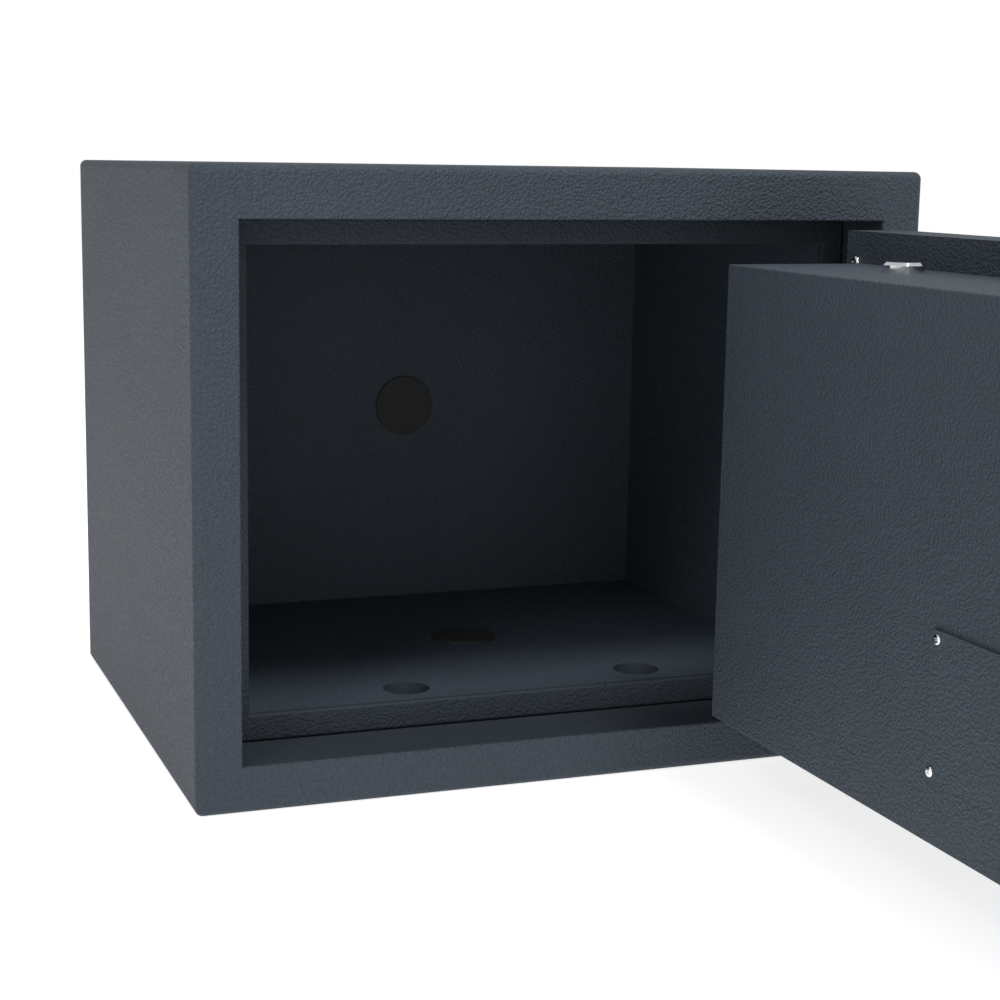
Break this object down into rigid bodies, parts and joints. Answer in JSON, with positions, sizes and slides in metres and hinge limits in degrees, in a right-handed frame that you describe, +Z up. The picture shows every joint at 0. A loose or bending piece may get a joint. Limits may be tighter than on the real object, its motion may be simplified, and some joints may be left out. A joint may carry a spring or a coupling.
{
  "type": "in room safe",
  "caption": "Thick-walled steel room safe with a stepped door opening, outside-hinged keypad door, motor-driven round bolts and floor anchor holes.",
  "frame": {"origin": "centre of the case's underside, on the surface it stands on", "axes": "+X right seen from the front, +Y towards the back, +Z up; the door is drawn open by 90 degrees"},
  "size_m": [0.405, 0.702, 0.325],
  "materials": {
    "powder_coat": "dark blue-grey textured powder coat",
    "insulating_fill": "pale insulating board",
    "black_rubber": "matte black rubber",
    "chrome": "polished chrome plate",
    "zinc_steel": "zinc-plated steel",
    "brass": "turned brass",
    "black_plastic": "fine-grained black plastic",
    "key_plastic": "grey moulded keycap",
    "display_glass": "smoked display window",
    "board_green": "green circuit board",
    "cell_sleeve": "printed battery sleeve, blank"
  },
  "bodies": {
    "case": {"case_shell": "powder_coat", "base_plate": "powder_coat", "rear_panel": "powder_coat", "rebate_frame": "powder_coat", "stop_rim": "powder_coat", "inner_liner": "powder_coat", "wall_infill": "insulating_fill", "floor_anchor_cups": "powder_coat", "rear_anchor_cup": "powder_coat", "floor_plug": "black_rubber", "rear_plug": "black_rubber", "bolt_strikes": "zinc_steel", "case_knuckles": "powder_coat", "hinge_pins": "zinc_steel", "hinge_washers": "brass"},
    "door": {"door_knuckles": "powder_coat", "knuckle_caps": "powder_coat", "door_pan": "powder_coat", "door_back_plate": "powder_coat", "door_infill": "insulating_fill", "door_screws": "chrome", "lock_box": "powder_coat", "guide_bar": "zinc_steel", "bolt_bushes": "brass", "drive_motor": "zinc_steel", "motor_bracket": "zinc_steel", "keypad_housing": "black_plastic", "display_window": "display_glass", "display_module": "black_plastic", "keypad_board": "board_green", "switch_domes": "black_rubber", "keypad_cable": "black_plastic", "lock_barrel": "brass", "cap_stud": "chrome", "control_board": "board_green", "board_standoffs": "zinc_steel", "board_parts": "black_plastic", "battery_tray": "black_plastic", "battery_cells": "cell_sleeve", "battery_cover": "powder_coat", "cover_screws": "chrome"},
    "bolts": {"locking_bolts": "chrome", "bolt_carriage": "zinc_steel", "bolt_screws": "zinc_steel", "lead_nut": "brass"},
    "lead_screw": {"lead_screw": "zinc_steel"},
    "lock_core": {"lock_core": "brass"},
    "lock_cap": {"lock_cap": "black_plastic"},
    "key_1": {"key_1": "key_plastic"},
    "key_2": {"key_2": "key_plastic"},
    "key_3": {"key_3": "key_plastic"},
    "key_4": {"key_4": "key_plastic"},
    "key_5": {"key_5": "key_plastic"},
    "key_6": {"key_6": "key_plastic"},
    "key_7": {"key_7": "key_plastic"},
    "key_8": {"key_8": "key_plastic"},
    "key_9": {"key_9": "key_plastic"},
    "key_clear": {"key_clear": "key_plastic"},
    "key_0": {"key_0": "key_plastic"},
    "key_lock": {"key_lock": "key_plastic"}
  },
  "joints": [
    {"name": "door_swing", "type": "hinge", "parent": "case", "child": "door", "pos_m": [0.1875, -0.175, 0.15], "axis": [0, 0, 1], "range_deg": [-90, 90]},
    {"name": "bolt_throw", "type": "slide", "parent": "door", "child": "bolts", "axis": [0, 0, 1], "range_m": [0, 0.015]},
    {"name": "screw_spin", "type": "hinge", "parent": "door", "child": "lead_screw", "pos_m": [0.1175, -0.3625, 0.19], "axis": [0, 0, 1], "range_deg": [0, 901]},
    {"name": "lock_turn", "type": "hinge", "parent": "door", "child": "lock_core", "pos_m": [0.1775, -0.312, 0.15], "axis": [1, 0, 0], "range_deg": [0, 90]},
    {"name": "cap_swing", "type": "hinge", "parent": "door", "child": "lock_cap", "pos_m": [0.1925, -0.312, 0.1615], "axis": [1, 0, 0], "range_deg": [-150, 150]},
    {"name": "key_1_press", "type": "slide", "parent": "door", "child": "key_1", "axis": [-1, 0, 0], "range_m": [0, 0.0012], "stiffness_N_per_m": 400, "springref_m": -0.0003},
    {"name": "key_2_press", "type": "slide", "parent": "door", "child": "key_2", "axis": [-1, 0, 0], "range_m": [0, 0.0012], "stiffness_N_per_m": 400, "springref_m": -0.0003},
    {"name": "key_3_press", "type": "slide", "parent": "door", "child": "key_3", "axis": [-1, 0, 0], "range_m": [0, 0.0012], "stiffness_N_per_m": 400, "springref_m": -0.0003},
    {"name": "key_4_press", "type": "slide", "parent": "door", "child": "key_4", "axis": [-1, 0, 0], "range_m": [0, 0.0012], "stiffness_N_per_m": 400, "springref_m": -0.0003},
    {"name": "key_5_press", "type": "slide", "parent": "door", "child": "key_5", "axis": [-1, 0, 0], "range_m": [0, 0.0012], "stiffness_N_per_m": 400, "springref_m": -0.0003},
    {"name": "key_6_press", "type": "slide", "parent": "door", "child": "key_6", "axis": [-1, 0, 0], "range_m": [0, 0.0012], "stiffness_N_per_m": 400, "springref_m": -0.0003},
    {"name": "key_7_press", "type": "slide", "parent": "door", "child": "key_7", "axis": [-1, 0, 0], "range_m": [0, 0.0012], "stiffness_N_per_m": 400, "springref_m": -0.0003},
    {"name": "key_8_press", "type": "slide", "parent": "door", "child": "key_8", "axis": [-1, 0, 0], "range_m": [0, 0.0012], "stiffness_N_per_m": 400, "springref_m": -0.0003},
    {"name": "key_9_press", "type": "slide", "parent": "door", "child": "key_9", "axis": [-1, 0, 0], "range_m": [0, 0.0012], "stiffness_N_per_m": 400, "springref_m": -0.0003},
    {"name": "key_clear_press", "type": "slide", "parent": "door", "child": "key_clear", "axis": [-1, 0, 0], "range_m": [0, 0.0012], "stiffness_N_per_m": 400, "springref_m": -0.0003},
    {"name": "key_0_press", "type": "slide", "parent": "door", "child": "key_0", "axis": [-1, 0, 0], "range_m": [0, 0.0012], "stiffness_N_per_m": 400, "springref_m": -0.0003},
    {"name": "key_lock_press", "type": "slide", "parent": "door", "child": "key_lock", "axis": [-1, 0, 0], "range_m": [0, 0.0012], "stiffness_N_per_m": 400, "springref_m": -0.0003}
  ],
  "couplings": [
    {"joint": "screw_spin", "follows": "bolt_throw", "rad_per_m": 1047.2}
  ]
}
